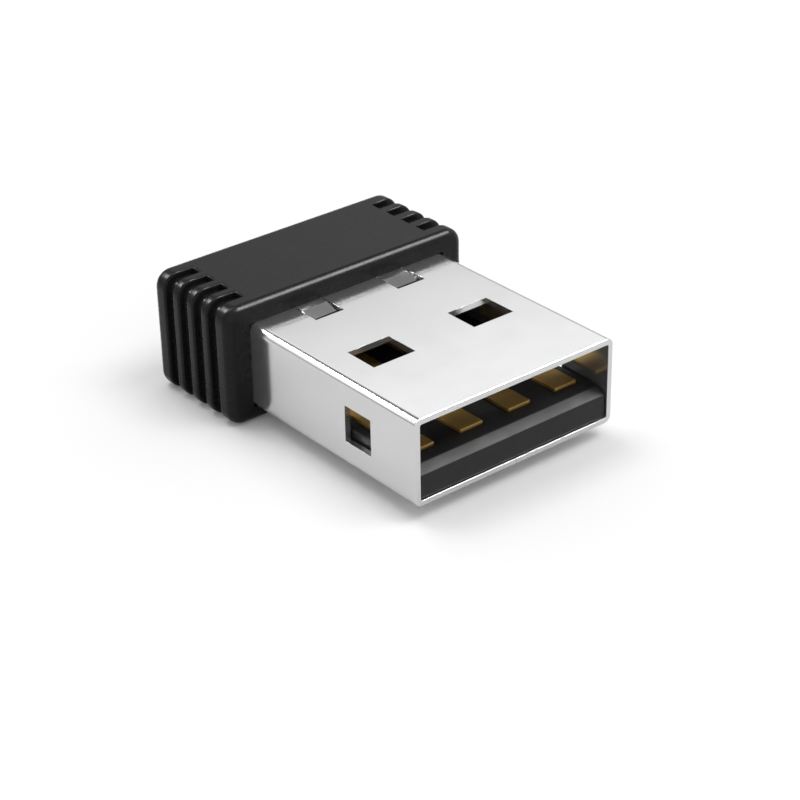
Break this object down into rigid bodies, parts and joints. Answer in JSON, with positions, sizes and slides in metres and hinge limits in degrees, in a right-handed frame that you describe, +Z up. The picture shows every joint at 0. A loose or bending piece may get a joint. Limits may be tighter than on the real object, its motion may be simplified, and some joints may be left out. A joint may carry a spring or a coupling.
{
  "type": "mouse jiggler",
  "caption": "Short plug-in dongle that moves a computer's pointer: a folded metal type-A plug with windows and contacts, and a black cap with grooved ends.",
  "frame": {"origin": "middle of the whole length and width, on the plane that the cap lies on", "axes": "+Y from the plug's mouth to the back of the cap, +X across the plug, +Z up, with the contacts on the upper face of the tongue"},
  "size_m": [0.0146, 0.0184, 0.0063],
  "materials": {
    "cap_plastic": "satin black moulding",
    "shell_steel": "bright nickel-plated sheet steel",
    "tongue_plastic": "smooth black moulding",
    "contact_gold": "gold flash on copper alloy",
    "board_laminate": "green solder mask on glass-epoxy laminate",
    "pad_gold": "gold flash on copper",
    "chip_resin": "black moulding compound",
    "lead_tin": "matte tin plate",
    "crystal_ceramic": "fired ceramic",
    "crystal_metal": "bright plated lid",
    "capacitor_ceramic": "fired brown ceramic",
    "resistor_ceramic": "black glaze",
    "solder": "smooth reflowed tin alloy"
  },
  "bodies": {
    "root": {"cap": "cap_plastic", "plug_shell": "shell_steel", "tongue": "tongue_plastic", "contact_power": "contact_gold", "contact_data_minus": "contact_gold", "contact_data_plus": "contact_gold", "contact_ground": "contact_gold", "circuit_board": "board_laminate", "board_pads": "pad_gold", "controller_chip": "chip_resin", "controller_leads": "lead_tin", "crystal_base": "crystal_ceramic", "crystal_lid": "crystal_metal", "regulator_body": "chip_resin", "regulator_leads": "lead_tin", "capacitors": "capacitor_ceramic", "capacitor_terminals": "lead_tin", "resistors": "resistor_ceramic", "resistor_terminals": "lead_tin", "contact_solder": "solder", "shell_solder": "solder"}
  },
  "joints": []
}
